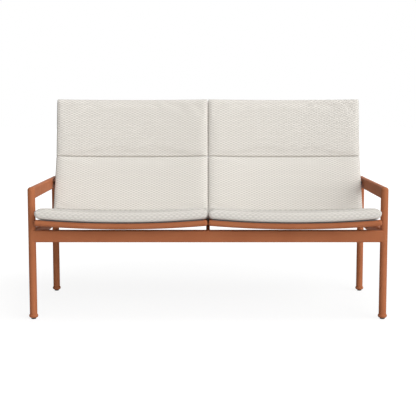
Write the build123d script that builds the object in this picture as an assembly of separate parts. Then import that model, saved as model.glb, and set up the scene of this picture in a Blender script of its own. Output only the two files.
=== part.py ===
from build123d import *
import os
from math import cos, radians, sin, sqrt, tan

# Patio loveseat: a welded round-and-flat tube base that carries two padded sling seats
# Millimetres, front towards -Y, left and right as seen from the front, floor at Z = 0
# The pieces are placed from the front leg axes, and moved to the middle of the whole at the end

os.makedirs("parts", exist_ok=True)

# Base frame
leg_spacing_across = 1400.0
leg_diameter = 30.0
frame_wall = 2.0
leg_top_height = 530.6
leg_top_rounding = 13.0
arm_set_down = 0.8
arm_depth = 48.0
side_member_width = 20.0
rail_top_height = 359.3
rail_depth = 48.3
rail_set_back = 0.3
centre_beam_width = 15.0
member_edge_rounding = 6.0
overrun = 5.0

# Feet with screwed levelling glides
collar_bottom_height = 5.0
collar_depth = 15.0
collar_mouth_radius = 11.0
collar_bead_radius = 18.2
collar_spigot_length = 25.0
spigot_clearance = 0.1
glide_radius = 9.8
glide_edge_rounding = 1.2
glide_seat_clearance = 0.3
glide_stud_diameter = 8.0
glide_stud_length = 36.0
glide_floor_skin = 1.6
glide_stud_clearance = 0.05

# Seat frames
seat_gap = 4.0
seat_end_clearance = 4.0
seat_tube_diameter = 25.0
seat_tube_wall = 1.8
front_tube_forward = 58.0
front_tube_rise = 34.7
seat_length = 491.7
rear_leg_reach = 98.3
seat_slope = 7.0
lower_back_length = 303.7
lower_back_lean = 25.3
upper_back_length = 246.3
upper_back_lean = 11.4
corner_bend_radius = 90.0
back_bend_radius = 150.0
cross_tube_bow = 12.5
spreader_diameter = 19.0
front_cap_depth = 8.5
front_cap_flat_radius = 4.0
top_plug_depth = 3.0
top_plug_flat_radius = 8.0
cope_trim = 1.5
cap_spigot_length = 12.0
cap_clearance = 0.1

# Sling and the cords that hold its hems in the tube channels
channel_angle = 25.0
channel_radius = 2.6
channel_lip = 0.9
channel_skin = 1.2
channel_slot = 1.9
hem_cord_radius = 2.2
sling_thickness = 1.2
sling_clearance = 0.1
hem_start_clearance = 1.0

# Pads
pad_edge_thickness = 43.0
pad_crown = 3.0
pad_side_clearance = 1.0
pad_side_roll = 15.0
pad_rest_clearance = 0.2
pad_corner_inset = 12.0
pad_front_overhang = 22.0
pad_top_overhang = 20.0
pad_end_roll = 20.0
pad_seam_depth = 9.0
pad_seam_roll = 9.0
pad_seam_inset = 3.0
pad_cover_thickness = 1.5
foam_clearance = 0.3
roll_step_shares = (0.05, 0.2, 0.5, 1.0)
seam_step_shares = (0.0, 0.34, 0.67, 1.0)

# Rear hood that drops over the top of the seat frame
hood_thickness = 1.5
hood_clearance = 0.4
hood_drop = 120.0

# Fasteners
bolt_radius = 3.0
bolt_hole_clearance = 0.3
bolt_head_radius = 5.25
bolt_head_depth = 3.3
bolt_socket_width = 4.0
bolt_socket_depth = 2.0
bolt_end_allowance = 3.0
spacer_radius = 8.0
insert_radius = 4.2
insert_swage_radius = 5.0
insert_swage_length = 2.8
insert_length = 13.0
nut_radius = 5.5
nut_depth = 7.0
rail_bolt_distance = 400.0

# Worked-out sizes of the base
leg_radius = leg_diameter / 2
half_across = leg_spacing_across / 2
leg_spacing_deep = seat_length + rear_leg_reach
collar_top_height = collar_bottom_height + collar_depth
rail_centre_height = rail_top_height - rail_depth / 2
arm_centre_height = leg_top_height - arm_set_down - arm_depth / 2
cross_rail_width = leg_diameter - 2 * rail_set_back
side_member_inner_x = half_across - side_member_width / 2
side_member_outer_x = half_across + side_member_width / 2
glide_depth = collar_bottom_height - glide_seat_clearance
glide_stud_radius = glide_stud_diameter / 2

# Worked-out sizes of a seat, for the one on the +X side
front_tube_height = rail_top_height + front_tube_rise
seat_tube_radius = seat_tube_diameter / 2
seat_inner_x = seat_gap / 2
seat_outer_x = half_across - leg_radius - seat_end_clearance
seat_middle_x = (seat_inner_x + seat_outer_x) / 2
seat_half_width = (seat_outer_x - seat_inner_x) / 2
cross_tube_half_length = seat_half_width - front_cap_depth
side_tube_offset = cross_tube_half_length - seat_tube_radius
outer_tube_x = seat_middle_x + side_tube_offset
inner_tube_x = seat_middle_x - side_tube_offset
bow_radius = (side_tube_offset**2 + cross_tube_bow**2) / (2 * cross_tube_bow)
corner_turn = 90.0 + seat_slope - lower_back_lean
back_turn = lower_back_lean - upper_back_lean
corner_tangent = corner_bend_radius * tan(radians(corner_turn / 2))
back_tangent = back_bend_radius * tan(radians(back_turn / 2))
corner_arc = corner_bend_radius * radians(corner_turn)
back_arc = back_bend_radius * radians(back_turn)
corner_seam_distance = seat_length - corner_tangent + corner_arc / 2
back_seam_distance = (seat_length - 2 * corner_tangent + corner_arc
                      + lower_back_length - back_tangent + back_arc / 2)
side_line_length = (seat_length - 2 * corner_tangent + corner_arc
                    + lower_back_length - 2 * back_tangent + back_arc + upper_back_length)
pad_rest = seat_tube_radius + sling_clearance + sling_thickness + pad_rest_clearance
pad_half_width = seat_half_width - pad_side_clearance
hem_start = seat_tube_radius + hem_start_clearance

front_point = Vector(0, -front_tube_forward, front_tube_height)
seat_direction = Vector(0, cos(radians(seat_slope)), -sin(radians(seat_slope)))
lower_back_direction = Vector(0, sin(radians(lower_back_lean)), cos(radians(lower_back_lean)))
upper_back_direction = Vector(0, sin(radians(upper_back_lean)), cos(radians(upper_back_lean)))
corner_point = front_point + seat_direction * seat_length
back_bend_point = corner_point + lower_back_direction * lower_back_length
top_point = back_bend_point + upper_back_direction * upper_back_length


# Base frame members

def upright_cylinder(x, y, bottom, top, radius):
    return Pos(x, y, (bottom + top) / 2) * Cylinder(radius, top - bottom)


def leg_outline(x, y):
    """Solid outer form of a leg: a round post with a domed top."""
    post = upright_cylinder(x, y, collar_top_height, leg_top_height, leg_radius)
    return fillet(post.edges().sort_by(Axis.Z)[-1], leg_top_rounding)


def leg(x, y):
    bore_top = leg_top_height - frame_wall
    bore = upright_cylinder(x, y, collar_top_height, bore_top, leg_radius - frame_wall)
    bore = fillet(bore.edges().sort_by(Axis.Z)[-1], leg_top_rounding - frame_wall)
    return leg_outline(x, y) - bore


def member_profile(plane, width, depth):
    """Hollow rounded-rectangle section of a frame member."""
    outer = RectangleRounded(width, depth, member_edge_rounding)
    inner = RectangleRounded(width - 2 * frame_wall, depth - 2 * frame_wall,
                             member_edge_rounding - frame_wall)
    return plane * (outer - inner)


def member_along_y(x, height, width, depth, start, end):
    plane = Plane(origin=(x, start, height), x_dir=(1, 0, 0), z_dir=(0, 1, 0))
    return extrude(member_profile(plane, width, depth), end - start)


def cross_rail(y):
    """A flat rail between two legs, with ends shaped to the round posts."""
    plane = Plane(origin=(-half_across, y, rail_centre_height), x_dir=(0, 1, 0), z_dir=(1, 0, 0))
    rail = extrude(member_profile(plane, cross_rail_width, rail_depth), leg_spacing_across)
    for x in (-half_across, half_across):
        rail -= leg_outline(x, y)
    return rail


def cross_rail_outline(y):
    return Pos(0, y, rail_centre_height) * Box(leg_spacing_across, cross_rail_width, rail_depth)


def side_member(x, height, depth):
    """An arm or side rail between a front and a rear leg."""
    member = member_along_y(x, height, side_member_width, depth, 0, leg_spacing_deep)
    for y in (0, leg_spacing_deep):
        member -= leg_outline(x, y)
    return member


def bolt_hole(point, start, end):
    return rod(point, start - overrun, end + overrun, bolt_radius + bolt_hole_clearance)


def arm(x):
    member = side_member(x, arm_centre_height, arm_depth)
    return member - bolt_hole(arm_bolt_point(), x - side_member_width, x + side_member_width)


def side_rail(x):
    rail = side_member(x, rail_centre_height, rail_depth)
    for y in (0, leg_spacing_deep):
        rail -= cross_rail_outline(y)
    return rail - bolt_hole(rail_bolt_point(), x - side_member_width, x + side_member_width)


def centre_beam():
    start = cross_rail_width / 2
    beam = member_along_y(0, rail_centre_height, centre_beam_width, rail_depth,
                          start, leg_spacing_deep - start)
    return beam - bolt_hole(rail_bolt_point(), -centre_beam_width, centre_beam_width)


# Feet

def foot_collar(x, y):
    """Beaded ferrule with a spigot up the leg and a tapped bore for the glide stud."""
    spigot_radius = leg_radius - frame_wall - spigot_clearance
    spigot_top = collar_top_height + collar_spigot_length
    bead = ThreePointArc((collar_mouth_radius, 0, collar_bottom_height),
                         (collar_bead_radius, 0, (collar_bottom_height + collar_top_height) / 2),
                         (leg_radius, 0, collar_top_height))
    edge = Polyline((leg_radius, 0, collar_top_height), (spigot_radius, 0, collar_top_height),
                    (spigot_radius, 0, spigot_top), (0, 0, spigot_top),
                    (0, 0, collar_bottom_height), (collar_mouth_radius, 0, collar_bottom_height))
    body = revolve(make_face([bead] + edge.edges()), Axis.Z)
    bore = upright_cylinder(0, 0, collar_bottom_height - overrun, spigot_top + overrun,
                            glide_stud_radius + glide_stud_clearance)
    return Pos(x, y, 0) * (body - bore)


def glide(x, y):
    """Round plastic foot moulded over the lower end of its stud."""
    pad = upright_cylinder(x, y, 0, glide_depth, glide_radius)
    pad = fillet(pad.edges().filter_by(GeomType.CIRCLE), glide_edge_rounding)
    return pad - upright_cylinder(x, y, glide_floor_skin, glide_depth + overrun, glide_stud_radius)


def glide_stud(x, y):
    return upright_cylinder(x, y, glide_floor_skin, glide_floor_skin + glide_stud_length,
                            glide_stud_radius)


# Seat frame

def side_line(x, front_extra=0.0, top_extra=0.0):
    """Centre line of a side tube: seat, bucket corner, lower back, upper back."""
    points = [front_point - seat_direction * front_extra, corner_point, back_bend_point,
              top_point + upper_back_direction * top_extra]
    points = [Vector(x, point.Y, point.Z) for point in points]
    return FilletPolyline(*points, radius=[corner_bend_radius, back_bend_radius])


def section_plane(line, distance):
    """Plane across the line: local X runs along +X, local Y points at the sitter."""
    origin = line.position_at(distance, position_mode=PositionMode.LENGTH)
    tangent = line.tangent_at(distance, position_mode=PositionMode.LENGTH)
    return Plane(origin=origin, x_dir=(1, 0, 0), z_dir=-tangent)


def channel_centre(outward):
    reach = seat_tube_radius - channel_lip - channel_radius
    angle = radians(channel_angle)
    return outward * reach * sin(angle), reach * cos(angle)


def slot_strip(outward, width, inner_reach, outer_reach):
    """Thin radial strip at the channel's angle, from one reach to another."""
    strip = Pos(0, (inner_reach + outer_reach) / 2) * Rectangle(width, outer_reach - inner_reach)
    return Rot(0, 0, -outward * channel_angle) * strip


def tube_section(outward):
    """Round tube with a hem channel drawn into its wall on the outward side."""
    channel = Pos(*channel_centre(outward))
    bore = Circle(seat_tube_radius - seat_tube_wall)
    bore -= channel * Circle(channel_radius + channel_skin)
    slot = slot_strip(outward, channel_slot, seat_tube_radius - channel_lip - channel_radius,
                      seat_tube_radius + overrun)
    return Circle(seat_tube_radius) - bore - channel * Circle(channel_radius) - slot


def bow_height(across):
    """Height of the bowed line over its lowest point's level, zero at the side tubes."""
    return bow_radius - cross_tube_bow - sqrt(bow_radius**2 - across**2)


def bowed_line(plane, half_length):
    end = bow_height(half_length)
    points = [(-half_length, end), (0, -cross_tube_bow), (half_length, end)]
    return ThreePointArc(*[plane.from_local_coords((across, up, 0)) for across, up in points])


def round_bar(line, radius):
    return sweep(Plane(origin=line @ 0, z_dir=line % 0) * Circle(radius), path=line)


def round_tube(line, radius, wall):
    section = Circle(radius) - Circle(radius - wall)
    return sweep(Plane(origin=line @ 0, z_dir=line % 0) * section, path=line)


def middle_line(front_extra=0.0, top_extra=0.0):
    return side_line(seat_middle_x, front_extra, top_extra)


def front_tube_line():
    return bowed_line(section_plane(middle_line(), 0), cross_tube_half_length)


def top_tube_line():
    plane = section_plane(middle_line(), side_line_length)
    return bowed_line(plane, side_tube_offset - cope_trim)


def side_tube(x, outward):
    line = side_line(x, -cope_trim, seat_tube_radius)
    plane = section_plane(line, 0)
    tube = sweep(plane * tube_section(outward), path=line)
    return tube - round_bar(front_tube_line(), seat_tube_radius)


def side_tube_outline(x):
    return round_bar(side_line(x, 0, seat_tube_radius), seat_tube_radius)


def side_tube_outlines():
    return [side_tube_outline(x) for x in (inner_tube_x, outer_tube_x)]


def front_tube():
    return round_tube(front_tube_line(), seat_tube_radius, seat_tube_wall)


def cross_tube_between(line, radius):
    """A bowed tube whose ends are shaped to the two side tubes."""
    tube = round_tube(line, radius, seat_tube_wall)
    for outline in side_tube_outlines():
        tube -= outline
    return tube


def top_tube():
    return cross_tube_between(top_tube_line(), seat_tube_radius)


def corner_spreader():
    plane = section_plane(middle_line(), corner_seam_distance)
    line = bowed_line(plane, side_tube_offset - cope_trim)
    return cross_tube_between(line, spreader_diameter / 2)


def domed_plug(plane, depth, flat_radius):
    """End plug: a rounded button outside the tube and a spigot inside it."""
    spigot = seat_tube_radius - seat_tube_wall - cap_clearance
    shoulder = ThreePointArc((seat_tube_radius, 0, 0),
                             (flat_radius + (seat_tube_radius - flat_radius) * sin(radians(45)), 0,
                              depth * sin(radians(45))),
                             (flat_radius, 0, depth))
    edge = Polyline((flat_radius, 0, depth), (0, 0, depth), (0, 0, -cap_spigot_length),
                    (spigot, 0, -cap_spigot_length), (spigot, 0, 0), (seat_tube_radius, 0, 0))
    return plane.location * revolve(make_face([shoulder] + edge.edges()), Axis.Z)


def front_tube_caps():
    line = front_tube_line()
    planes = [Plane(origin=line @ 0, z_dir=-(line % 0)), Plane(origin=line @ 1, z_dir=line % 1)]
    return [domed_plug(plane, front_cap_depth, front_cap_flat_radius) for plane in planes]


def top_plugs():
    plugs = []
    for x, outward in ((inner_tube_x, -1), (outer_tube_x, 1)):
        line = side_line(x, 0, seat_tube_radius)
        plane = Plane(origin=line @ 1, x_dir=(1, 0, 0), z_dir=line % 1)
        channel_x, channel_y = channel_centre(outward)
        boss = Cylinder(channel_radius + channel_skin + cap_clearance, 2 * cap_spigot_length)
        seat = Pos(channel_x, -channel_y, -cap_spigot_length) * boss
        plugs.append(domed_plug(plane, top_plug_depth, top_plug_flat_radius)
                     - plane.location * seat)
    return plugs


# Sling and hem cords

def hem_section(outward):
    """Where the sheet wraps a side tube and dips into its channel."""
    low = seat_tube_radius + sling_clearance
    high = low + sling_thickness
    inner_reach = seat_tube_radius - channel_lip - channel_radius + hem_cord_radius
    angle = radians(channel_angle)
    reach = 2 * high
    wedge = Polygon((0, 0), (0, reach), (outward * reach * tan(angle / 2), reach),
                    (outward * reach * sin(angle), reach * cos(angle)), align=None)
    wrap = (Circle(high) - Circle(low)) & wedge
    return wrap + slot_strip(outward, sling_thickness, inner_reach, high)


def sling():
    """Sheet stretched over the seat frame, with a hem along each side tube."""
    low = seat_tube_radius + sling_clearance
    high = low + sling_thickness
    lower = ThreePointArc((-side_tube_offset, low), (0, low - cross_tube_bow),
                          (side_tube_offset, low))
    upper = ThreePointArc((side_tube_offset, high), (0, high - cross_tube_bow),
                          (-side_tube_offset, high))
    sheet = make_face([lower, Line(lower @ 1, upper @ 0), upper, Line(upper @ 1, lower @ 0)])
    line = middle_line()
    cloth = sweep(section_plane(line, 0) * sheet, path=line)
    for x, outward in ((inner_tube_x, -1), (outer_tube_x, 1)):
        hem_line = side_line(x, -hem_start)
        cloth += sweep(section_plane(hem_line, 0) * hem_section(outward), path=hem_line)
    return cloth


def hem_cords():
    cords = []
    for x, outward in ((inner_tube_x, -1), (outer_tube_x, 1)):
        line = side_line(x, -hem_start)
        section = Pos(*channel_centre(outward)) * Circle(hem_cord_radius)
        cords.append(sweep(section_plane(line, 0) * section, path=line))
    return cords


# Pads: each panel is a loft of bowed sections set along the seat line

def pad_section(plane, inset, bottom_rise, top_drop, skin):
    """One bowed section with rounded sides; skin draws the whole outline inwards."""
    half_width = pad_half_width - inset - skin
    bottom = pad_rest + bottom_rise + skin
    top = pad_rest + pad_edge_thickness - top_drop - skin
    roll = min(pad_side_roll, (top - bottom) / 3)
    inner = half_width - roll
    end = bow_height(inner)
    middle = bow_height(0)
    level = end + (bottom + top) / 2
    under = ThreePointArc((-inner, bottom + end), (0, bottom + middle), (inner, bottom + end))
    right = ThreePointArc((inner, bottom + end), (half_width, level), (inner, top + end))
    over = ThreePointArc((inner, top + end), (0, top + middle + pad_crown), (-inner, top + end))
    left = ThreePointArc((-inner, top + end), (-half_width, level), (-inner, bottom + end))
    return plane * make_face([under, right, over, left])


def roll_stations(free):
    """Distances from a panel's end, with what its roll takes off the section there."""
    shares = roll_step_shares if free else seam_step_shares
    roll = pad_end_roll if free else pad_seam_roll
    stations = []
    for share in shares:
        closing = 1 - sqrt(1 - (1 - share)**2)
        rise = closing * pad_edge_thickness / 2
        taken = (closing * pad_seam_inset, 0, closing * pad_seam_depth)
        if free:
            taken = (closing * pad_corner_inset, rise, rise)
        stations.append(((share - shares[0]) * roll, taken))
    return stations


def panel(start, end, free_start, free_end, skin):
    """A padded panel; a free end is fully rounded, a sewn end is only pressed in."""
    line = middle_line(pad_front_overhang, pad_top_overhang)
    first = [(start + skin + distance, taken) for distance, taken in roll_stations(free_start)]
    last = [(end - skin - distance, taken)
            for distance, taken in reversed(roll_stations(free_end))]
    low, high = first[-1][0], last[0][0]
    run = line.trim(low / line.length, high / line.length)
    body = sweep(pad_section(section_plane(line, low), 0, 0, 0, skin), path=run)
    for stations in (first, last):
        body += loft([pad_section(section_plane(line, distance), *taken, skin)
                      for distance, taken in stations])
    return body


def seat_pad_form(skin):
    return panel(0, pad_front_overhang + corner_seam_distance, True, False, skin)


def lower_back_form(skin):
    return panel(pad_front_overhang + corner_seam_distance,
                 pad_front_overhang + back_seam_distance, False, False, skin)


def upper_back_form(skin):
    return panel(pad_front_overhang + back_seam_distance,
                 pad_front_overhang + side_line_length + pad_top_overhang, False, True, skin)


def back_pad_cover():
    cover = lower_back_form(0) + upper_back_form(0)
    for core in back_pad_cores(pad_cover_thickness):
        cover -= core
    return cover


def back_pad_cores(skin):
    return [lower_back_form(skin), upper_back_form(skin)]


def seat_pad_cover():
    return seat_pad_form(0) - seat_pad_form(pad_cover_thickness)


# Rear hood

def hood_band(front, rear, top, drop, half_width):
    """Block that follows the top tube's bow, given by its reach in each direction."""
    line = bowed_line(section_plane(middle_line(), side_line_length), half_width)
    frame = Plane(origin=line @ 0, x_dir=upper_back_direction, z_dir=line % 0)
    block = Pos((top - drop) / 2, (front - rear) / 2) * Rectangle(top + drop, front + rear)
    return sweep(frame * block, path=line)


def back_hood():
    """Thin cover over the frame's top: rear panel, top and sides, open towards the pad."""
    side = side_tube_offset + seat_tube_radius + hood_clearance
    top = seat_tube_radius + top_plug_depth + hood_clearance
    rear = seat_tube_radius + hood_clearance
    front = pad_rest - pad_rest_clearance
    outer = hood_band(front, rear + hood_thickness, top + hood_thickness, hood_drop,
                      side + hood_thickness)
    inner = hood_band(front + overrun, rear, top, hood_drop + overrun, side)
    return outer - inner


# Fasteners, each along X at a point of the seat line

def rail_bolt_point():
    return front_point + seat_direction * rail_bolt_distance


def arm_bolt_point():
    climb = (arm_centre_height - corner_point.Z) / lower_back_direction.Z
    return corner_point + lower_back_direction * climb


def bolt_points():
    return (rail_bolt_point(), arm_bolt_point())


def rod(point, start, end, radius):
    """Cylinder along X between two X values."""
    return Pos((start + end) / 2, point.Y, point.Z) * Rot(0, 90, 0) * Cylinder(radius, abs(end - start))


def hex_socket(point, start, depth):
    plane = Plane(origin=(start, point.Y, point.Z), z_dir=(1, 0, 0))
    return extrude(plane * RegularPolygon(bolt_socket_width / 2, 6, major_radius=False), depth)


def side_bolt(point):
    end = outer_tube_x - bolt_end_allowance
    shank = rod(point, end, side_member_outer_x, bolt_radius)
    head = rod(point, side_member_outer_x, side_member_outer_x + bolt_head_depth, bolt_head_radius)
    head = fillet(head.edges().sort_by(Axis.X)[-1], bolt_head_depth / 2)
    bolt = shank + head
    return bolt - hex_socket(point, side_member_outer_x + bolt_head_depth - bolt_socket_depth,
                             bolt_socket_depth)


def side_spacer(point):
    block = rod(point, outer_tube_x, side_member_inner_x, spacer_radius)
    hole = rod(point, outer_tube_x, side_member_inner_x, bolt_radius + bolt_hole_clearance)
    return block - side_tube_outline(outer_tube_x) - hole


def tube_insert(point):
    """Threaded insert through the tube wall, swaged out behind it."""
    wall_inside = seat_tube_radius - seat_tube_wall
    mouth = outer_tube_x + sqrt(seat_tube_radius**2 - insert_radius**2) - cap_clearance
    barrel = rod(point, mouth - insert_length, mouth, insert_radius)
    swage_end = outer_tube_x + sqrt(wall_inside**2 - insert_swage_radius**2) - cap_clearance
    swage = rod(point, swage_end - insert_swage_length, swage_end, insert_swage_radius)
    return barrel + swage - rod(point, mouth - 2 * insert_length, mouth + overrun, bolt_radius)


def centre_bolt(point):
    reach = inner_tube_x + seat_tube_radius
    shank = rod(point, -reach, reach + nut_depth - bolt_end_allowance, bolt_radius)
    head = rod(point, -reach - bolt_head_depth, -reach, bolt_head_radius)
    head = fillet(head.edges().sort_by(Axis.X)[0], bolt_head_depth / 2)
    return shank + head - hex_socket(point, -reach - bolt_head_depth, bolt_socket_depth)


def centre_nut(point):
    """Domed nut on the far end of a centre bolt."""
    start = inner_tube_x + seat_tube_radius
    body = rod(point, start, start + nut_depth, nut_radius)
    body = fillet(body.edges().sort_by(Axis.X)[-1], nut_depth / 3)
    return body - rod(point, start, start + nut_depth - bolt_end_allowance, bolt_radius)


def centre_spacers():
    low, high = bolt_points()
    reach = inner_tube_x
    pieces = []
    for start, end in ((-reach, -centre_beam_width / 2), (centre_beam_width / 2, reach)):
        pieces.append(rod(low, start, end, spacer_radius))
    pieces.append(rod(high, -reach, reach, spacer_radius))
    shaped = []
    for piece, point in zip(pieces, (low, low, high)):
        piece -= rod(point, -2 * reach, 2 * reach, bolt_radius + bolt_hole_clearance)
        piece -= side_tube_outline(inner_tube_x)
        piece -= mirror(side_tube_outline(inner_tube_x), Plane.YZ)
        shaped.append(piece)
    return shaped


def outer_side_tube():
    """Side tube next to the arm, with a hole in its outer wall for each insert."""
    tube = side_tube(outer_tube_x, 1)
    for point in bolt_points():
        tube -= rod(point, outer_tube_x, outer_tube_x + seat_tube_diameter,
                    insert_radius + cap_clearance)
    return tube


def inner_side_tube():
    """Side tube at the middle, drilled right through for the centre bolts."""
    tube = side_tube(inner_tube_x, -1)
    for point in bolt_points():
        tube -= rod(point, inner_tube_x - seat_tube_diameter, inner_tube_x + seat_tube_diameter,
                    bolt_radius + bolt_hole_clearance)
    return tube


# Assembly

def mirrored(shapes):
    return [mirror(shape, about=Plane.YZ) for shape in shapes]


def base_nodes():
    nodes = {"front_rail": [cross_rail(0)], "rear_rail": [cross_rail(leg_spacing_deep)],
             "centre_beam": [centre_beam()]}
    for side, x in (("left", -half_across), ("right", half_across)):
        nodes["arm_" + side] = [arm(x)]
        nodes["side_rail_" + side] = [side_rail(x)]
        for end, y in (("front", 0), ("rear", leg_spacing_deep)):
            place = end + "_" + side
            nodes["leg_" + place] = [leg(x, y)]
            nodes["foot_collar_" + place] = [foot_collar(x, y)]
            nodes["glide_" + place] = [glide(x, y)]
            nodes["glide_stud_" + place] = [glide_stud(x, y)]
    return nodes


def seat_nodes():
    """One seat's pieces, modelled for the right-hand seat."""
    return {
        "outer_side_tube": [outer_side_tube()],
        "inner_side_tube": [inner_side_tube()],
        "front_tube": [front_tube()],
        "top_tube": [top_tube()],
        "corner_spreader": [corner_spreader()],
        "front_tube_caps": front_tube_caps(),
        "top_plugs": top_plugs(),
        "sling": [sling()],
        "hem_cords": hem_cords(),
        "seat_pad": [seat_pad_cover()],
        "back_pad": [back_pad_cover()],
        "seat_foam": [seat_pad_form(pad_cover_thickness + foam_clearance)],
        "back_foam": back_pad_cores(pad_cover_thickness + foam_clearance),
        "back_hood": [back_hood()],
    }


def fastener_nodes():
    points = bolt_points()
    side = {"side_bolts": [side_bolt(point) for point in points],
            "side_spacers": [side_spacer(point) for point in points],
            "tube_inserts": [tube_insert(point) for point in points]}
    nodes = {name: shapes + mirrored(shapes) for name, shapes in side.items()}
    nodes["centre_bolts"] = [centre_bolt(point) for point in points]
    nodes["centre_nuts"] = [centre_nut(point) for point in points]
    nodes["centre_spacers"] = centre_spacers()
    return nodes


def all_nodes():
    nodes = base_nodes()
    for name, shapes in seat_nodes().items():
        nodes[name + "_right"] = shapes
        nodes[name + "_left"] = mirrored(shapes)
    nodes.update(fastener_nodes())
    return nodes


def solids_of(shapes):
    return [solid for shape in shapes for solid in shape.solids()]


nodes = {name: solids_of(shapes) for name, shapes in all_nodes().items()}
whole = Compound([solid for solids in nodes.values() for solid in solids])
to_middle = Pos(0, -whole.bounding_box().center().Y, 0)
for name, solids in nodes.items():
    placed = [to_middle * solid for solid in solids]
    export_step(Compound(placed), "parts/" + name + ".step")
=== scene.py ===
import math

import bpy
import numpy as np
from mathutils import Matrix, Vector, noise


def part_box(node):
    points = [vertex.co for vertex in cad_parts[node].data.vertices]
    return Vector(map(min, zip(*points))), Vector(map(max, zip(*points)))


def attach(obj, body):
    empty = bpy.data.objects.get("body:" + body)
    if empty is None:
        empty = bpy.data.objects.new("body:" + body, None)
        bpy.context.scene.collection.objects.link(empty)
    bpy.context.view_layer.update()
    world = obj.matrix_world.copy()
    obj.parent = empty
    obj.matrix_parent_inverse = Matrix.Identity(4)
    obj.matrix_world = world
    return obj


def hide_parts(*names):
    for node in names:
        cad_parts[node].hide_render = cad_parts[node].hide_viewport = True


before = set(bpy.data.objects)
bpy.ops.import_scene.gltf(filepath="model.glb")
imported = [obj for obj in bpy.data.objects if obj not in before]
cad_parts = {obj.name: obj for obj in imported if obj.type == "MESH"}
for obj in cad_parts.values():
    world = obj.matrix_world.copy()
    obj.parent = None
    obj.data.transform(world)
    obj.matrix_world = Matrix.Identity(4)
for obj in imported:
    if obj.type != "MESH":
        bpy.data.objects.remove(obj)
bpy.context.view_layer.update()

scene = bpy.context.scene


# Welded base: four round posts with domed tops, two arms, two side rails, two cross rails and a centre beam
# Extruded aluminium, notched and welded, then powder coated in one go in a nearly matt terracotta
# The coat is faintly mottled, with paler specks and a fine orange-peel skin

def add_node(tree, kind, sockets=None, **settings):
    """Adds a shader node; sockets maps an input to a value or to another node's output."""
    made = tree.nodes.new(kind)
    for key, value in settings.items():
        setattr(made, key, value)
    for key, value in (sockets or {}).items():
        if isinstance(value, bpy.types.NodeSocket):
            tree.links.new(value, made.inputs[key])
        else:
            made.inputs[key].default_value = value
    return made


def maths(tree, operation, *values):
    return add_node(tree, "ShaderNodeMath", dict(enumerate(values)), operation=operation).outputs[0]


def mix_values(tree, share, low, high):
    """The Mix node's names repeat, so its sockets go by number: 2 and 3 take values."""
    mixed = add_node(tree, "ShaderNodeMix", {0: share, 2: low, 3: high})
    return mixed.outputs[0]


def mix_colours(tree, share, low, high):
    """Sockets 6 and 7 of the Mix node take colours, and its output 2 gives one."""
    mixed = add_node(tree, "ShaderNodeMix", {0: share, 6: low, 7: high}, data_type="RGBA")
    return mixed.outputs[2]


def spread(tree, value, low=0.3, high=0.7, to_low=0.0, to_high=1.0):
    """Maps low..high of a value smoothly to another range."""
    ranged = add_node(tree, "ShaderNodeMapRange", {0: value, 1: low, 2: high, 3: to_low, 4: to_high},
                      interpolation_type="SMOOTHSTEP")
    return ranged.outputs[0]


def mottle(tree, place, scale, detail=2.0, roughness=0.5):
    cloud = add_node(tree, "ShaderNodeTexNoise",
                     {"Vector": place, "Scale": scale, "Detail": detail, "Roughness": roughness})
    return cloud.outputs["Fac"]


def object_place(tree):
    return add_node(tree, "ShaderNodeTexCoord").outputs["Object"]


def raised(tree, height, depth, strength, under=None):
    """Bump from a height in metres; under is the normal of a coarser bump."""
    sockets = {"Strength": strength, "Distance": depth, "Height": height}
    if under is not None:
        sockets["Normal"] = under
    return add_node(tree, "ShaderNodeBump", sockets).outputs[0]


def start_material(name):
    material = bpy.data.materials.new(name)
    material.use_nodes = True
    material.node_tree.nodes.clear()
    return material, material.node_tree


def end_material(material, tree, **sockets):
    """Principled surface with the given sockets, written with _ for a space."""
    named = {key.replace("_", " "): value for key, value in sockets.items()}
    surface = add_node(tree, "ShaderNodeBsdfPrincipled", named)
    add_node(tree, "ShaderNodeOutputMaterial", {"Surface": surface.outputs[0]})
    return material


def shade(red, green, blue):
    """A colour as a painter reads it from a chart, 0 to 255, in the scene's linear values."""
    values = [part / 255 for part in (red, green, blue)]
    return [v / 12.92 if v <= 0.04045 else ((v + 0.055) / 1.055) ** 2.4 for v in values] + [1.0]


def coat():
    material, tree = start_material("terracotta_powder_coat")
    brown, warm, pale = shade(166, 101, 68), shade(171, 106, 72), shade(190, 118, 80)
    place = object_place(tree)
    broad = mottle(tree, place, scale=9.0, detail=3.0)
    specks = mottle(tree, place, scale=700.0, detail=1.0)
    colour = mix_colours(tree, spread(tree, broad), brown, warm)
    colour = mix_colours(tree, spread(tree, specks, 0.45, 0.75, to_high=0.25), colour, pale)
    peel = mottle(tree, place, scale=420.0)
    roughness = spread(tree, mottle(tree, place, scale=35.0), to_low=0.5, to_high=0.6)
    return end_material(material, tree, Base_Color=colour, Roughness=roughness,
                        Normal=raised(tree, peel, depth=0.00035, strength=0.35),
                        Specular_IOR_Level=0.035)


def dress(nodes, material):
    for name in nodes:
        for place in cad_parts[name].material_slots:
            place.material = material


ends = ("front", "rear")
sides = ("left", "right")
corners = [end + "_" + side for end in ends for side in sides]
paint = coat()
dress(["front_rail", "rear_rail", "centre_beam"], paint)
dress([kind + side for kind in ("arm_", "side_rail_") for side in sides], paint)
dress(["leg_" + corner for corner in corners], paint)


# Feet: a beaded aluminium ferrule under each leg, coated with the frame
# A black nylon glide is moulded on a zinc-plated stud that screws into the ferrule to level the seat

def toned(colour, share):
    """The same colour, lighter or darker by a share of its strength."""
    return [part * share for part in colour[:3]] + [1.0]


def plastic(name, colour, roughness, grain_size):
    """Moulded plastic with a fine grain, a little uneven in colour and gloss."""
    material, tree = start_material(name)
    place = object_place(tree)
    grain = mottle(tree, place, scale=1 / grain_size)
    tone = mix_colours(tree, mottle(tree, place, scale=60.0), colour, toned(colour, 1.5))
    gloss = spread(tree, grain, to_low=roughness, to_high=roughness + 0.12)
    return end_material(material, tree, Base_Color=tone, Roughness=gloss,
                        Normal=raised(tree, grain, depth=grain_size / 3, strength=0.3))


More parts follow.
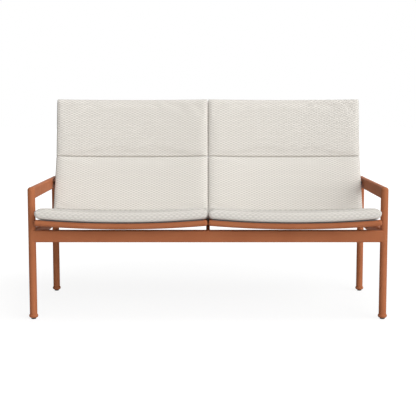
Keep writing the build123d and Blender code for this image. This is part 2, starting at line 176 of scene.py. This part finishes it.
def plated_steel(name, colour, turning):
    """Turned metal: fine rings round the given axis, a little uneven in gloss."""
    material, tree = start_material(name)
    place = object_place(tree)
    stretched = add_node(tree, "ShaderNodeMapping", {"Vector": place, "Scale": turning}).outputs[0]
    rings = mottle(tree, stretched, scale=1.0, detail=3.0)
    tone = mix_colours(tree, mottle(tree, place, scale=90.0), colour, toned(colour, 0.8))
    return end_material(material, tree, Base_Color=tone, Metallic=1.0,
                        Roughness=spread(tree, rings, to_low=0.25, to_high=0.42),
                        Normal=raised(tree, rings, depth=0.00005, strength=0.4))


glide_nylon = plastic("black_nylon", shade(26, 25, 24), roughness=0.45, grain_size=0.0012)
stud_zinc = plated_steel("zinc_plated_steel", shade(190, 190, 186), turning=(150, 150, 2500))
dress(["foot_collar_" + corner for corner in corners], paint)
dress(["glide_" + corner for corner in corners], glide_nylon)
dress(["glide_stud_" + corner for corner in corners], stud_zinc)


# Seat frames: two bent side tubes, a bowed front tube with domed end caps, a top tube and a corner spreader
# Drawn aluminium tube with a hem channel in its wall, welded and coated like the base

seat_tubes = ("outer_side_tube_", "inner_side_tube_", "front_tube_", "top_tube_", "corner_spreader_",
              "front_tube_caps_", "top_plugs_")
dress([kind + side for kind in seat_tubes for side in sides], paint)


# Fasteners: stainless socket bolts, threaded inserts and domed nuts, with black nylon spacers
# Two bolts a side hold each seat to its side rail and arm, and two more join the seats through the beam

stainless = plated_steel("stainless_steel", shade(200, 199, 196), turning=(2500, 150, 150))
spacer_nylon = plastic("black_spacer_nylon", shade(30, 29, 28), roughness=0.5, grain_size=0.0015)
dress(["side_bolts", "centre_bolts", "centre_nuts", "tube_inserts"], stainless)
dress(["side_spacers", "centre_spacers"], spacer_nylon)


# Slings: dark grey coated mesh stretched from side tube to side tube, under each pad
# Each long edge is welded round a cord, and slides with it down the channel of its side tube
# The sheet follows the seat line: the seat, the bend at the corner, and the two straight runs of the back

seat_middle = 0.3415
side_tube_offset = 0.3185
seat_tube_radius = 0.0125
seat_bow = 0.0125
bow_radius = (side_tube_offset**2 + seat_bow**2) / (2 * seat_bow)
front_tube_forward = 0.058
front_tube_height = 0.394
front_leg_y = (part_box("leg_front_left")[0][1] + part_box("leg_front_left")[1][1]) / 2
seat_start = (front_leg_y - front_tube_forward, front_tube_height)
seat_length = 0.4917
lower_back_length = 0.3037
upper_back_length = 0.2463
seat_tilt = 7
lower_back_lean = 25.3
upper_back_lean = 11.4
seat_slope = math.radians(seat_tilt)
corner_turn = math.radians(90 + seat_tilt - lower_back_lean)
back_turn = math.radians(lower_back_lean - upper_back_lean)
corner_bend = 0.090
back_bend = 0.150
corner_tangent = corner_bend * math.tan(corner_turn / 2)
back_tangent = back_bend * math.tan(back_turn / 2)
seat_runs = [(seat_length - corner_tangent, 0), (corner_bend * corner_turn, corner_bend),
             (lower_back_length - corner_tangent - back_tangent, 0), (back_bend * back_turn, back_bend),
             (upper_back_length - back_tangent, 0)]
run_ends = np.cumsum([length for length, _ in seat_runs])
corner_seam = run_ends[0] + seat_runs[1][0] / 2
back_seam = run_ends[2] + seat_runs[3][0] / 2
seat_line_length = run_ends[4]


def seat_line(distance):
    """Y, Z and slope of the seat line at distances from the front tube's axis."""
    distance = np.asarray(distance, float)
    y = np.full(distance.shape, seat_start[0])
    z = np.full(distance.shape, seat_start[1])
    slope = np.full(distance.shape, -seat_slope)
    run_start, run_slope = 0.0, -seat_slope
    for count, (length, bend) in enumerate(seat_runs):
        low = -np.inf if count == 0 else 0.0
        high = np.inf if count == len(seat_runs) - 1 else length
        along = np.clip(distance - run_start, low, high)
        if bend:
            y += bend * (np.sin(run_slope + along / bend) - math.sin(run_slope))
            z += bend * (math.cos(run_slope) - np.cos(run_slope + along / bend))
            slope += along / bend
            run_slope += length / bend
        else:
            y += along * math.cos(run_slope)
            z += along * math.sin(run_slope)
        run_start += length
    return y, z, slope


def bow(across):
    """Height of the bowed cross tubes' line: 0 at the side tubes and lowest at the seat's middle."""
    return bow_radius - seat_bow - np.sqrt(bow_radius**2 - np.asarray(across) ** 2)


def on_seat(middle, distance, across, height):
    """Points at a distance along the seat line, across from its middle and above it."""
    y, z, slope = seat_line(distance)
    across = np.broadcast_to(across, y.shape)
    return np.stack([middle + across, y - height * np.sin(slope), z + height * np.cos(slope)], axis=-1)


def grid_faces(rows, columns):
    first = np.arange(rows - 1)[:, None] * columns + np.arange(columns - 1)[None, :]
    return np.stack([first, first + 1, first + columns + 1, first + columns], axis=-1).reshape(-1, 4)


def mesh_piece(name, points, faces, uv):
    """A smooth mesh object from points and faces; uv gives a place on the cloth for each face corner."""
    mesh = bpy.data.meshes.new(name)
    mesh.from_pydata([tuple(p) for p in points], [], [tuple(int(v) for v in f) for f in faces])
    layer = mesh.uv_layers.new(name="cloth")
    layer.data.foreach_set("uv", np.asarray(uv, dtype=np.float32).ravel())
    mesh.shade_smooth()
    piece = bpy.data.objects.new(name, mesh)
    scene.collection.objects.link(piece)
    return piece


def pick(piece):
    """Selects one piece alone, for the operators that follow."""
    bpy.ops.object.select_all(action="DESELECT")
    piece.select_set(True)
    bpy.context.view_layer.objects.active = piece


def apply_modifiers(piece):
    pick(piece)
    for modifier in list(piece.modifiers):
        bpy.ops.object.modifier_apply(modifier=modifier.name)


def thicken(piece, thickness):
    """Gives a sheet its thickness, half to each side."""
    wall = piece.modifiers.new("Solidify", "SOLIDIFY")
    wall.thickness = thickness
    wall.offset = 0.0
    apply_modifiers(piece)


def cloth_place(tree):
    return add_node(tree, "ShaderNodeUVMap", uv_map="cloth").outputs[0]


def yarn_ribs(tree, axis, spacing):
    """Height of parallel yarns, 0 between them and 1 on them."""
    phase = maths(tree, "MULTIPLY", axis, math.pi / spacing)
    return maths(tree, "ABSOLUTE", maths(tree, "SINE", phase))


def mesh_weave():
    """Leno mesh: coated yarns 0.55 and 0.7 mm apart, with the holes between them painted near-black as the
    shade seen through them.
    """
    material, tree = start_material("dark_coated_mesh")
    shade_in_holes, yarn_grey, dull = shade(20, 21, 21), shade(92, 95, 94), shade(58, 60, 59)
    axes = add_node(tree, "ShaderNodeSeparateXYZ", {0: cloth_place(tree)})
    ribs = [yarn_ribs(tree, axes.outputs[axis], spacing) for axis, spacing in ((0, 0.00055), (1, 0.0007))]
    yarn = maths(tree, "MAXIMUM", *ribs)
    cloud = mottle(tree, object_place(tree), scale=40.0)
    # Between the yarns the colour is painted shade, for what lies dark behind the mesh
    tone = mix_colours(tree, spread(tree, yarn, 0.55, 0.95), shade_in_holes, yarn_grey)
    tone = mix_colours(tree, spread(tree, cloud, to_high=0.35), tone, dull)
    return end_material(material, tree, Base_Color=tone, Roughness=0.55, Sheen_Weight=0.15,
                        Normal=raised(tree, yarn, depth=0.0003, strength=0.8))


sling_thickness = 0.0012
sling_clearance = 0.0001
sling_surface = seat_tube_radius + sling_clearance + sling_thickness / 2
channel_angle = math.radians(25)
channel_lip = 0.0009
channel_radius = 0.0026
hem_cord_radius = 0.0022
channel_floor = seat_tube_radius - channel_lip - channel_radius + hem_cord_radius
hem_rise = np.linspace(channel_floor, sling_surface, 4)[:-1]
hem_turns = np.linspace(channel_angle, 0, 5)
hem_across = np.concatenate([hem_rise * math.sin(channel_angle), sling_surface * np.sin(hem_turns)])
hem_height = np.concatenate([hem_rise * math.cos(channel_angle), sling_surface * np.cos(hem_turns)])
sling_columns, sling_rows = 64, 128
open_across = np.linspace(-side_tube_offset, side_tube_offset, sling_columns + 1)[1:-1]
sling_across = np.concatenate([-side_tube_offset - hem_across, open_across,
                               side_tube_offset + hem_across[::-1]])
sling_height = np.concatenate([hem_height, sling_surface + bow(open_across), hem_height[::-1]])
front_wrap_angle = 32
front_wrap = np.radians(np.linspace(front_wrap_angle, 0, 6))[:-1]
hem_start = 0.0135
before_hem = np.linspace(0, hem_start, 3)[:-1]
sling_steps = np.concatenate([-sling_surface * np.sin(front_wrap), before_hem,
                              np.linspace(hem_start, seat_line_length, sling_rows + 1)])
wrap_drop = np.zeros(len(sling_steps))
wrap_drop[:len(front_wrap)] = sling_surface * (1 - np.cos(front_wrap))
first_hem_row = len(front_wrap) + len(before_hem)
in_channel = len(hem_rise)
mesh_finish = mesh_weave()

for side, sign in zip(sides, (-1, 1)):
    rows, columns = len(sling_steps), len(sling_across)
    distance, across = np.meshgrid(sling_steps, sling_across, indexing="ij")
    height = sling_height[None, :] - wrap_drop[:, None]
    points = on_seat(sign * seat_middle, distance, across, height).reshape(-1, 3)
    faces = grid_faces(rows, columns)
    wraps = np.ones(columns - 1, bool)
    wraps[:in_channel] = wraps[-in_channel:] = False
    kept = [face for face in faces if face[0] // columns >= first_hem_row or wraps[face[0] % columns]]
    girth = np.concatenate([[0], np.cumsum(np.hypot(np.diff(sling_across), np.diff(sling_height)))])
    travel = sling_steps.copy()
    travel[:len(front_wrap)] = -sling_surface * front_wrap
    cloth = np.stack(np.meshgrid(girth, travel), axis=-1).reshape(-1, 2)
    sheet = mesh_piece("sling_mesh_" + side, points, kept, cloth[np.asarray(kept).ravel()])
    pick(sheet)
    bpy.ops.object.mode_set(mode="EDIT")
    bpy.ops.mesh.select_all(action="SELECT")
    bpy.ops.mesh.delete_loose()
    bpy.ops.object.mode_set(mode="OBJECT")
    thicken(sheet, sling_thickness)
    sheet.data.materials.append(mesh_finish)
    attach(sheet, "loveseat")
    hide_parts("sling_" + side)

hem_plastic = plastic("black_hem_cord", shade(34, 34, 34), roughness=0.55, grain_size=0.001)
dress(["hem_cords_" + side for side in sides], hem_plastic)


# Pads: quick-dry foam in a cream woven cover, one part on the seat and one up the back
# Each part is a front and a rear panel sewn to a narrow boxing; the back has a pressed seam across it
# The cover is slightly loose and rises between its seams

pad_middle = 0.3400
pad_half_width = 0.3398
pad_rest = 0.0140
pad_thickness = 0.043
pad_crown = 0.003
crown_fall = 0.75
crown_reach = 0.070
side_roll = 0.008
side_fullness = 3.0
side_seam = 0.009
side_shoulder = 0.0067
shoulder_reach = 0.030
corner_shoulder = 0.009
corner_reach = 0.045
corner_roll = 0.032
corner_depth = 0.120
corner_share = 1.25
front_roll = 0.020
front_fullness = 2.3
front_seam = 0.0055
front_lift = 0.0028
corner_lift = 0.0026
lift_reach = 0.045
under_front_roll = 0.8 * front_roll
under_front_fullness = 3.5
under_side_roll = 2.2 * side_roll
under_boxing = 0.012
sewn_roll = 0.006
sewn_held = 0.0061
seam_depth = 0.009
seam_reach = 0.009
seam_inset = 0.003
seam_press = 0.0022
faint_seam = 0.15
front_corner_inset = 0.010
top_corner_inset = 0.004
grid_pitch = 0.0066
same_line = 1e-5


def round_off(distance, roll, fullness=2.0):
    """Share of the full thickness at a distance from a rounded edge; more fullness is squarer."""
    near = np.clip(1 - np.asarray(distance) / roll, 0, 1)
    return np.maximum(0, 1 - near**fullness) ** (1 / fullness)


def steps_between(low_marks, high_marks, length):
    """Grid lines from 0 to length: the close ones given at both ends, and even ones between."""
    low, high = low_marks[-1], length - high_marks[-1]
    count = max(2, round((high - low) / grid_pitch))
    return np.concatenate([low_marks[:-1], np.linspace(low, high, count + 1),
                           (length - np.asarray(high_marks))[::-1][1:]])


# Close grid lines, by their distance from a side, the free end, the sewn end and the back's pressed seam
side_marks = [0, 0.0003, 0.0010, 0.0022, 0.0040, 0.0062, side_seam, 0.0130, 0.0180, 0.0240, 0.030]
free_marks = [0, 0.0004, 0.0012, 0.0026, front_seam - 0.0012, front_seam, front_seam + 0.0012,
              0.0100, 0.0150, 0.020]
sewn_marks = [0, 0.0003, 0.0012, 0.0028, 0.0046, 0.0060, 0.0090, 0.0130]
crease_marks = [0, 0.0007, 0.0018, 0.0036, 0.0060, 0.0090, 0.0130]


def line_places(points):
    """How far along a line of points each one is."""
    return np.concatenate([[0], np.cumsum(np.linalg.norm(np.diff(points, axis=0), axis=1))])


def pad_shell(name, middle, start, end, free_start, crease):
    """Closed shell of one pad part, with its cloth places and the vertices that seams hold."""
    across = steps_between(side_marks, side_marks, 2 * pad_half_width) - pad_half_width
    length = end - start
    first = free_marks if free_start else sewn_marks
    last = sewn_marks if free_start else free_marks
    if crease is None:
        along = steps_between(first, last, length)
    else:
        lower = steps_between(first, crease_marks, crease - start)
        upper = steps_between(crease_marks, last, end - crease) + crease - start
        along = np.concatenate([lower, upper[1:]])
    rows, columns = len(along), len(across)
    s, x = np.meshgrid(along, across, indexing="ij")
    free = s if free_start else length - s
    sewn = length - s if free_start else s
    flat = np.zeros(s.shape)

    # Outline, narrower at the corners and seams, and the thickness above and below the middle of the pad
    drop = 1 - round_off(sewn, seam_reach)
    if crease is not None:
        drop = np.maximum(drop, 1 - round_off(np.abs(s - (crease - start)), seam_reach))
    corner_inset = front_corner_inset if free_start else top_corner_inset
    inset = corner_inset * (1 - round_off(free, front_roll)) + seam_inset * drop
    x = x * (1 - inset / pad_half_width)
    edge_gap = pad_half_width - np.abs(across)
    over = round_off(free, front_roll, front_fullness) * round_off(sewn, sewn_roll)
    near_free = np.clip(1 - free / crown_reach, 0, 1) ** 2 if free_start else flat
    near_corner = np.clip(corner_share - free / corner_depth, 0, 1) if free_start else flat
    over *= ((1 - near_corner) * round_off(edge_gap, side_roll, side_fullness)[None, :]
             + near_corner * round_off(edge_gap, corner_roll)[None, :])
    side_near = np.clip(1 - edge_gap / shoulder_reach, 0, 1)[None, :]
    corner_near = np.clip(1 - edge_gap / corner_reach, 0, 1)[None, :]
    shoulder = side_shoulder * side_near**3 * (1 - near_free)
    shoulder += corner_shoulder * corner_near**2 * near_free
    below = round_off(free, under_front_roll, under_front_fullness) * round_off(sewn, sewn_roll)
    below *= round_off(edge_gap, under_side_roll)[None, :]
    crown = pad_crown * (1 - crown_fall * (x / pad_half_width) ** 2) * (1 - near_free)
    rise = (pad_thickness / 2 + crown - np.maximum(seam_depth * drop, shoulder)) * over
    fall = pad_thickness / 2 * below
    lift = front_lift + corner_lift * (x / pad_half_width) ** 2
    lift = lift * np.clip(1 - free / lift_reach, 0, 1) ** 2
    level = pad_rest + pad_thickness / 2 + bow(x) + lift
    top = on_seat(middle, start + s, x, level + rise)
    bottom = on_seat(middle, start + s, x, level - fall)

    # Both panels share the vertices of their border
    points = np.concatenate([top.reshape(-1, 3), bottom.reshape(-1, 3)])
    number = np.arange(rows * columns).reshape(rows, columns)
    under = number + rows * columns
    for border in (np.s_[0, :], np.s_[-1, :], np.s_[:, 0], np.s_[:, -1]):
        under[border] = number[border]
    top_faces = grid_faces(rows, columns)
    lookup = np.concatenate([number.ravel(), under.ravel()])
    bottom_faces = lookup[rows * columns + top_faces[:, ::-1]]
    girth = line_places(top[rows // 2])
    travel = line_places(top[:, columns // 2])
    cloth_top = np.stack(np.meshgrid(girth - girth[-1] / 2, travel), axis=-1).reshape(-1, 2)
    cloth_under = cloth_top.copy()
    edge = travel[0] if free_start else travel[-1]
    cloth_under[:, 1] = 2 * edge - cloth_under[:, 1]
    uv = np.concatenate([cloth_top[top_faces.ravel()], cloth_under[top_faces[:, ::-1].ravel()]])
    used = np.unique(np.concatenate([top_faces.ravel(), bottom_faces.ravel()]))
    renumber = np.full(len(points), -1)
    renumber[used] = np.arange(len(used))
    faces = renumber[np.concatenate([top_faces, bottom_faces])]
    pad = mesh_piece(name, points[used], faces, uv)

    # Seams hold the cover while it swells, and show as drawn-in lines, which the cover also darkens with
    # painted shade; the boxing has a quieter weave
    side_gap = pad_half_width - np.abs(np.broadcast_to(across, s.shape))
    past_side = side_gap >= side_seam - same_line
    past_front = free >= front_seam - same_line
    front_line = np.isclose(free, front_seam, atol=same_line)
    seam_lines = np.isclose(side_gap, side_seam, atol=same_line) & past_front
    seam_lines |= front_line & past_side
    on_crease = np.abs(s - (crease - start)) < same_line if crease is not None else flat.astype(bool)
    held = seam_lines | (sewn < sewn_held) | on_crease
    held_under = seam_lines | (past_side & past_front) | (sewn < sewn_held)
    held = np.concatenate([held.ravel(), held_under.ravel()])[used]
    group = pad.vertex_groups.new(name="held")
    group.add([int(v) for v in np.nonzero(held)[0]], 1.0, "REPLACE")
    stitched = np.where(front_line & seam_lines, 1.0 if free_start else faint_seam, faint_seam * seam_lines)
    stitched = np.maximum(stitched, on_crease)
    boxing = (free < front_seam) & free_start
    for key, top_values, under_values in (("seam", stitched, faint_seam * seam_lines),
                                          ("boxing", boxing, free < under_boxing)):
        layer = pad.data.attributes.new(key, "FLOAT", "POINT")
        values = np.concatenate([top_values.ravel(), under_values.ravel()])[used]
        layer.data.foreach_set("value", values.astype(np.float32))
    return pad


def vertices_of(mesh):
    points = np.empty(3 * len(mesh.vertices), np.float32)
    mesh.vertices.foreach_get("co", points)
    return points.reshape(-1, 3).astype(float)


def move_vertices(mesh, points):
    mesh.vertices.foreach_set("co", points.astype(np.float32).ravel())
    mesh.update()


swell_frames = 20
pad_gap = 0.0002


def swell(pad, pressure, slack, cap):
    """Lets the cover fill under a light pressure between its seams, no further than the cap."""
    before = vertices_of(pad.data)
    cloth = pad.modifiers.new("Cloth", "CLOTH")
    cloth.settings.quality = 5
    cloth.settings.mass = 0.25
    cloth.settings.tension_stiffness = cloth.settings.compression_stiffness = 12
    cloth.settings.bending_stiffness = 15
    cloth.settings.use_pressure = True
    cloth.settings.uniform_pressure_force = pressure
    cloth.settings.shrink_min = -slack
    cloth.settings.vertex_group_mass = "held"
    cloth.settings.effector_weights.gravity = 0
    cloth.point_cache.frame_start, cloth.point_cache.frame_end = 1, swell_frames
    for number in range(1, swell_frames + 1):
        scene.frame_set(number)
    drawn = pad.evaluated_get(bpy.context.evaluated_depsgraph_get())
    moved = vertices_of(drawn.data) - before
    far = np.maximum(np.linalg.norm(moved, axis=1, keepdims=True), 1e-9)
    after = before + moved * cap * np.tanh(far / cap) / far
    # The pads meet at the loveseat's middle, so the left cover stays on its own side of it
    after[:, 0] = np.minimum(after[:, 0], -pad_gap)
    pad.modifiers.clear()
    move_vertices(pad.data, after)
    scene.frame_set(1)


def press_seams(pad, depth):
    """Draws the sewn lines into the cover."""
    lines = np.empty(len(pad.data.vertices), np.float32)
    pad.data.attributes["seam"].data.foreach_get("value", lines)
    normals = np.empty(3 * len(pad.data.vertices), np.float32)
    pad.data.vertices.foreach_get("normal", normals)
    move_vertices(pad.data, vertices_of(pad.data) - depth * lines[:, None] * normals.reshape(-1, 3))


def from_middle(tree, value):
    """How far a place is from the middle of its repeat, 0 to a half."""
    return maths(tree, "ABSOLUTE", maths(tree, "SUBTRACT", maths(tree, "FRACT", value), 0.5))


def woven_cover():
    """Outdoor weave: pale floats in half-offset rows over a darker ground; seams are darkened for their
    thread and with painted shade in their grooves.
    """
    material, tree = start_material("cream_woven_cover")
    ground, pale_float = shade(197, 193, 186), shade(230, 226, 219)
    fibre_grey, worn, seam_thread_and_shade = shade(210, 205, 198), shade(211, 207, 200), shade(140, 131, 120)
    row_height, float_pitch = 0.0055, 0.0225
    warp_spacing, weft_spacing = 0.0008, 0.0011
    wander_depth, rib_share, boxing_share = 0.004, 0.12, 0.45
    axes = add_node(tree, "ShaderNodeSeparateXYZ", {0: cloth_place(tree)})
    along_row, up_rows = axes.outputs[0], axes.outputs[1]
    place = object_place(tree)
    drift = maths(tree, "SUBTRACT", mottle(tree, place, scale=14.0), 0.5)
    wander = maths(tree, "MULTIPLY", drift, wander_depth)
    rows = maths(tree, "DIVIDE", maths(tree, "ADD", up_rows, wander), row_height)
    row = maths(tree, "ADD", maths(tree, "FLOOR", rows), 1000.0)
    offset = maths(tree, "MULTIPLY", maths(tree, "MODULO", row, 2.0), 0.5)
    pitch = maths(tree, "ADD", maths(tree, "DIVIDE", along_row, float_pitch), offset)
    tall = spread(tree, from_middle(tree, rows), 0.5, 0.22)
    wide = spread(tree, from_middle(tree, pitch), 0.42, 0.14)
    raised_float = maths(tree, "MULTIPLY", tall, wide)
    yarns = yarn_ribs(tree, along_row, warp_spacing)
    fine = yarn_ribs(tree, up_rows, weft_spacing)
    fibre = mottle(tree, place, scale=900.0, detail=3.0, roughness=0.6)
    wear = mottle(tree, place, scale=5.0)
    boxing = add_node(tree, "ShaderNodeAttribute", attribute_name="boxing").outputs["Fac"]
    seam = add_node(tree, "ShaderNodeAttribute", attribute_name="seam").outputs["Fac"]
    quiet = maths(tree, "MULTIPLY", boxing, boxing_share)
    shown = mix_values(tree, quiet, raised_float, 0.45)
    colour = mix_colours(tree, shown, ground, pale_float)
    colour = mix_colours(tree, spread(tree, fibre, 0.35, 0.75, to_high=0.22), colour, fibre_grey)
    colour = mix_colours(tree, spread(tree, wear, to_high=0.2), colour, worn)
    # Along seams and the crease the colour goes towards a darker grey-brown: partly thread, partly painted
    # shade for the shade in the pressed groove
    colour = mix_colours(tree, spread(tree, seam, 0.1, 1.0, to_high=0.85), colour, seam_thread_and_shade)
    ribs = maths(tree, "MULTIPLY", maths(tree, "ADD", yarns, fine), rib_share)
    normal = raised(tree, maths(tree, "ADD", raised_float, ribs), depth=0.0007, strength=0.5)
    normal = raised(tree, fibre, depth=0.0003, strength=0.3, under=normal)
    return end_material(material, tree, Base_Color=colour, Roughness=0.88, Sheen_Weight=0.2,
                        Sheen_Roughness=0.5, Specular_IOR_Level=0.25, Normal=normal)


cover = woven_cover()
front_overhang = 0.022
top_overhang = 0.020
pad_parts = {"seat_pad": (-front_overhang, corner_seam, True, None, "seat_foam_"),
             "back_pad": (corner_seam, seat_line_length + top_overhang, False, back_seam, "back_foam_")}

for kind, (start, end, free_start, crease, foam) in pad_parts.items():
    first = pad_shell(kind + "_cover_left", -pad_middle, start, end, free_start, crease)
    swell(first, pressure=1.5, slack=0.0015, cap=0.003)
    press_seams(first, seam_press)
    smooth = first.modifiers.new("Smooth", "SUBSURF")
    smooth.levels = smooth.render_levels = 1
    apply_modifiers(first)
    second = first.copy()
    second.data = first.data.copy()
    second.name = kind + "_cover_right"
    scene.collection.objects.link(second)
    for vertex in second.data.vertices:
        vertex.co.x += 2 * pad_middle
    for side, pad in zip(sides, (first, second)):
        pad.data.materials.append(cover)
        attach(pad, "loveseat")
        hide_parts(kind + "_" + side, foam + side)


# Rear hoods: a pocket of the pad's cloth that drops over the top of each seat frame and holds the pad up
# Rear panel, top and two side panels, with a turned hem stitched round the open lower edge

hood_drop = 0.120
hood_thickness = 0.0015
hood_clearance = 0.0004
top_plug_depth = 0.003
hood_half_width = side_tube_offset + seat_tube_radius + hood_clearance + hood_thickness / 2
hood_rear = seat_tube_radius + hood_clearance + hood_thickness / 2
hood_top = seat_tube_radius + top_plug_depth + hood_clearance + hood_thickness / 2
hood_pad_gap = 0.0002
hood_front = pad_rest - hood_pad_gap
hood_edge = 0.005
hood_columns, hood_rows = 96, 14
hood_hem = 0.012
hem_line_width = 0.0014
hem_line_reach = 0.0003
hood_press = 0.0006
hood_lip = 0.003
hood_lip_out = 0.010
hood_lip_start, hood_lip_run = 0.011, 0.0055
ripple_depth = 0.0016
ripples_across, ripples_up, ripple_start = 9, 14, 3.1
ripple_level = 0.15
rear_face_reach = 0.001


def hood_mesh(name):
    """A block of the pocket's outer size, open below and towards the pad, with soft edges."""
    bpy.ops.object.select_all(action="DESELECT")
    bpy.ops.mesh.primitive_cube_add(size=1)
    piece = bpy.context.object
    piece.name = piece.data.name = name
    width = 2 * hood_half_width
    height = hood_top + hood_drop
    depth = hood_front + hood_rear
    for vertex in piece.data.vertices:
        vertex.co = (vertex.co.x * width, vertex.co.y * depth, vertex.co.z * height)
    bpy.ops.object.mode_set(mode="EDIT")
    bpy.ops.mesh.select_all(action="DESELECT")
    bpy.ops.object.mode_set(mode="OBJECT")
    for face in piece.data.polygons:
        face.select = face.normal.z < -0.5 or face.normal.y > 0.5
    bpy.ops.object.mode_set(mode="EDIT")
    bpy.ops.mesh.delete(type="FACE")
    bpy.ops.mesh.select_all(action="SELECT")
    bpy.ops.object.mode_set(mode="OBJECT")
    shared = {}
    for face in piece.data.polygons:
        for key in face.edge_keys:
            shared[key] = shared.get(key, 0) + 1
    for edge in piece.data.edges:
        edge.select = shared.get(tuple(sorted(edge.vertices)), 0) == 2
    bpy.ops.object.mode_set(mode="EDIT")
    bpy.ops.mesh.select_mode(type="EDGE")
    bpy.ops.mesh.bevel(offset=hood_edge, segments=4)
    upright_cuts = np.linspace(0, width, hood_columns + 1)[1:-1]
    level_cuts = [hood_hem - hem_line_width, hood_hem, hood_hem + hem_line_width]
    level_cuts += list(np.linspace(hood_hem, height, hood_rows + 1)[1:-1])
    for normal, cuts, size in (((1, 0, 0), upright_cuts, width), ((0, 0, 1), level_cuts, height)):
        for cut in cuts:
            spot = [(cut - size / 2) * part for part in normal]
            bpy.ops.mesh.select_all(action="SELECT")
            bpy.ops.mesh.bisect(plane_co=spot, plane_no=normal)
    bpy.ops.object.mode_set(mode="OBJECT")
    return piece, height, depth


for side, sign in zip(sides, (-1, 1)):
    pocket, height, depth = hood_mesh("rear_hood_" + side)
    layer = pocket.data.uv_layers.active or pocket.data.uv_layers.new(name="cloth")
    layer.name = "cloth"
    for loop in pocket.data.loops:
        spot = pocket.data.vertices[loop.vertex_index].co
        layer.data[loop.index].uv = (spot.x, spot.z + spot.y)
    sewn = []
    for vertex in pocket.data.vertices:
        sewn.append(1.0 if abs(vertex.co.z + height / 2 - hood_hem) < hem_line_reach else 0.0)
        vertex.co -= vertex.normal * hood_press * sewn[-1]
        across = vertex.co.x
        up = vertex.co.z + height / 2 - hood_drop
        out = vertex.co.y + depth / 2 - hood_rear
        if out > hood_lip_out:
            out += hood_lip * min(1.0, max(0.0, (up - hood_lip_start) / hood_lip_run))
        ripple = noise.noise(Vector((across * ripples_across, up * ripples_up, ripple_start + sign)))
        share = min(1.0, max(0.0, (hood_top - up) / hood_drop))
        rear = out < -hood_rear + rear_face_reach
        wave = ripple_depth * (ripple - ripple_level) * share if rear else 0.0
        spot = on_seat(sign * seat_middle, np.array([seat_line_length + up]), np.array([across]),
                       np.array([out + float(bow(across)) + wave]))[0]
        vertex.co = spot
    # The cover paints this hem line darker: partly its thread, partly painted shade in the pressed groove
    pocket.data.attributes.new("seam", "FLOAT", "POINT").data.foreach_set("value", sewn)
    thicken(pocket, hood_thickness)
    pocket.data.shade_smooth()
    pocket.data.materials.append(cover)
    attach(pocket, "loveseat")
    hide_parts("back_hood_" + side)


# Floor: a plain pale studio floor, so that only the loveseat and its soft shadow show
# Rays from the camera, metal and glass see it as near white, and as white as the background further out

def background_seen(tree):
    """1 for a ray that shows the white background: from the camera, a mirror or a clear piece."""
    path = add_node(tree, "ShaderNodeLightPath")
    return maths(tree, "MAXIMUM", path.outputs["Is Camera Ray"],
                 maths(tree, "MAXIMUM", path.outputs["Is Glossy Ray"], path.outputs["Is Transmission Ray"]))


floor_size = 60
floor_glow = 1.15
white_from, white_at = 0.9, 2.4
least_white = 0.76
bpy.ops.object.select_all(action="DESELECT")
bpy.ops.mesh.primitive_plane_add(size=floor_size, location=(0, 0, 0))
floor = bpy.context.object
floor.name = "studio_floor"
floor_paint, tree = start_material("pale_studio_floor")
matt = add_node(tree, "ShaderNodeBsdfDiffuse", {"Color": shade(230, 230, 230)})
white = add_node(tree, "ShaderNodeEmission", {"Color": (1, 1, 1, 1), "Strength": floor_glow})
away = add_node(tree, "ShaderNodeVectorMath", {0: object_place(tree)}, operation="LENGTH")
whiter = spread(tree, away.outputs["Value"], white_from, white_at, to_low=least_white)
both = add_node(tree, "ShaderNodeMixShader", {0: whiter, 1: matt.outputs[0], 2: white.outputs[0]})
floor_mix = add_node(tree, "ShaderNodeMixShader",
                     {0: background_seen(tree), 1: matt.outputs[0], 2: both.outputs[0]})
add_node(tree, "ShaderNodeOutputMaterial", {"Surface": floor_mix.outputs[0]})
floor.data.materials.append(floor_paint)


# Light: two broad soft lights, from the right front and the front, a weaker one behind and a softbox above
# The pale surround gives little light of its own; the light behind puts no gloss on the arms

light_aim = Vector((0, 0, 0.4))


def light(name, kind, place, power, glossy=True, **sizes):
    lamp = bpy.data.lights.new(name, kind)
    lamp.energy = power
    for key, value in sizes.items():
        setattr(lamp, key, value)
    holder = bpy.data.objects.new(name, lamp)
    holder.location = place
    holder.rotation_euler = (light_aim - Vector(place)).to_track_quat("-Z", "Y").to_euler()
    holder.visible_glossy = glossy
    scene.collection.objects.link(holder)


light("key", "SUN", place=(7.4, -5.0, 4.6), power=1.95, angle=math.radians(65))
light("front", "SUN", place=(2.2, -8.0, 1.8), power=1.8, angle=math.radians(75))
light("behind", "SUN", place=(1.5, 8.0, 2.6), power=1.0, glossy=False, angle=math.radians(70))
light("overhead", "AREA", place=(0.5, -0.8, 4.2), power=48, shape="RECTANGLE", size=2.2, size_y=1.6)
surround = bpy.data.worlds.new("surround")
scene.world = surround
surround.use_nodes = True
tree = surround.node_tree
tree.nodes.clear()
lit = add_node(tree, "ShaderNodeBackground", {"Color": (1.0, 0.99, 0.98, 1), "Strength": 0.06})
backdrop = add_node(tree, "ShaderNodeBackground", {"Color": (1, 1, 1, 1), "Strength": 1.0})
world_mix = add_node(tree, "ShaderNodeMixShader",
                     {0: background_seen(tree), 1: lit.outputs[0], 2: backdrop.outputs[0]})
add_node(tree, "ShaderNodeOutputWorld", {"Surface": world_mix.outputs[0]})
scene.view_settings.view_transform = "Standard"


# Camera: just below the top of the back and some four metres off, looking slightly down at the front
# A long lens, placed so that the photograph's lines meet where they do there

camera_distance = 4.0592
camera_height = 0.8563
camera_tilt = 6.177
lens = bpy.data.cameras.new("camera")
lens.lens = 82.9
lens.sensor_width = 36.0
camera = bpy.data.objects.new("camera", lens)
camera.location = (0, -camera_distance, camera_height)
camera.rotation_euler = (math.radians(90 - camera_tilt), 0, 0)
scene.collection.objects.link(camera)
scene.camera = camera
